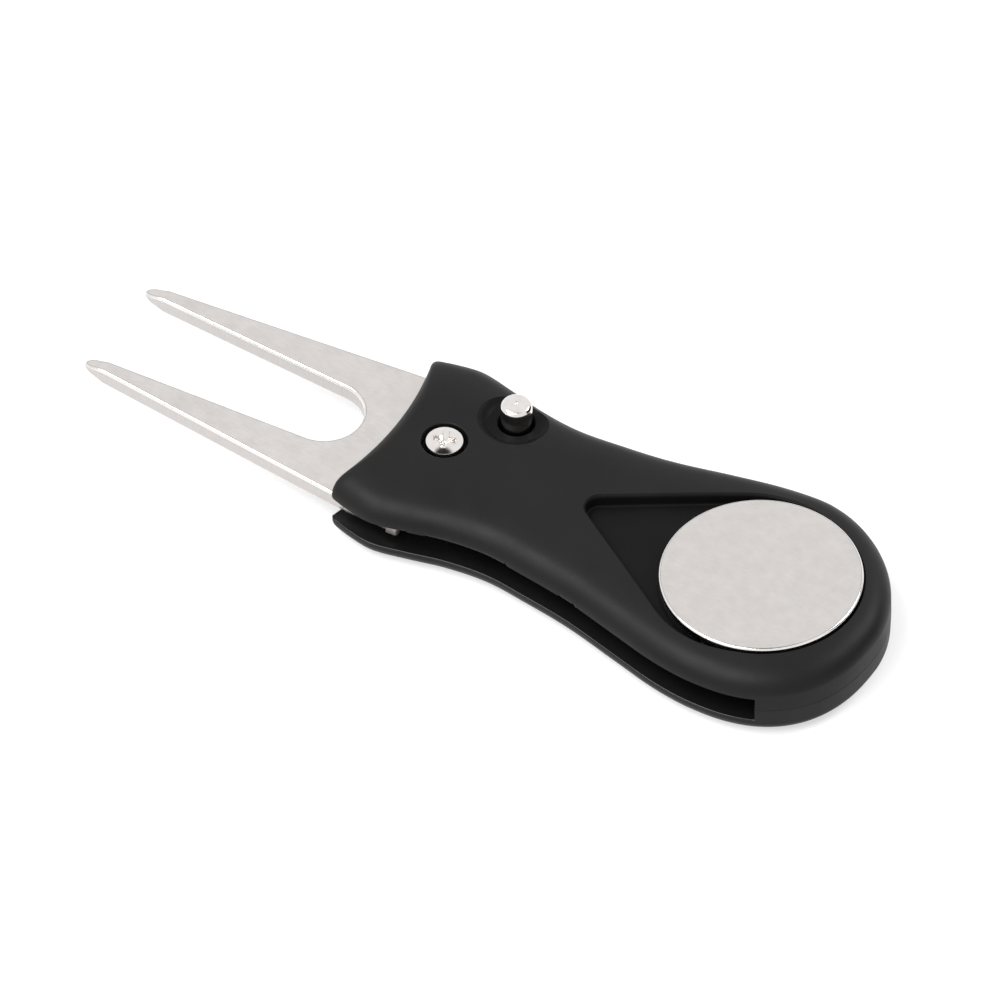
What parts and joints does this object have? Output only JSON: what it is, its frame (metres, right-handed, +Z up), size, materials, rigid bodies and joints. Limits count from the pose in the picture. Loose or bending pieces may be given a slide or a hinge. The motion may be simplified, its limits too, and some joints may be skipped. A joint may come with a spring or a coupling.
{
  "type": "divot repair tool",
  "caption": "Pocket divot repair tool: a sprung two-prong fork folds into a two-shell handle, with a push-button lock and a round magnetic ball marker.",
  "frame": {"origin": "under the middle of the open tool's box, on the flat underside that it rests on", "axes": "+X from the prong tips towards the marker end, +Z up through the handle's thickness, +Y towards the side away from the slot that the fork folds into"},
  "size_m": [0.1088, 0.0336, 0.012],
  "materials": {
    "soft_black": "soft-touch rubberised coat, matte",
    "fork_steel": "fine satin with bright bevelled edges",
    "chrome_steel": "polished",
    "zinc_steel": "dull plated",
    "bush_bronze": "turned bronze",
    "washer_nylon": "natural nylon",
    "spring_steel": "drawn wire",
    "magnet_nickel": "nickel plated, satin",
    "marker_steel": "very fine brushed face, polished rim",
    "screw_black": "black zinc"
  },
  "bodies": {
    "handle": {"top_shell": "soft_black", "bottom_shell": "soft_black", "pivot_screw": "chrome_steel", "pivot_nut": "zinc_steel", "pivot_bush": "bush_bronze", "upper_washer": "zinc_steel", "lower_washer": "washer_nylon", "button_spring": "spring_steel", "marker_magnet": "magnet_nickel", "case_screws": "screw_black"},
    "fork": {"fork": "fork_steel", "torsion_spring": "spring_steel"},
    "button": {"lock_button": "chrome_steel"},
    "marker": {"ball_marker": "marker_steel"}
  },
  "joints": [
    {"name": "fork_fold", "type": "hinge", "parent": "handle", "child": "fork", "pos_m": [-0.0067, 0, 0.00445], "axis": [0, 0, 1], "range_deg": [0, 173], "stiffness_Nm_per_rad": 0.012, "springref_deg": -28.65, "deforming": ["torsion_spring"]},
    {"name": "button_press", "type": "slide", "parent": "handle", "child": "button", "axis": [0, 0, -1], "range_m": [0, 0.0014], "stiffness_N_per_m": 600, "springref_m": -0.001, "deforming": ["button_spring"]},
    {"name": "marker_lift", "type": "slide", "parent": "handle", "child": "marker", "axis": [0, 0, 1], "range_m": [0, 0.015]}
  ]
}
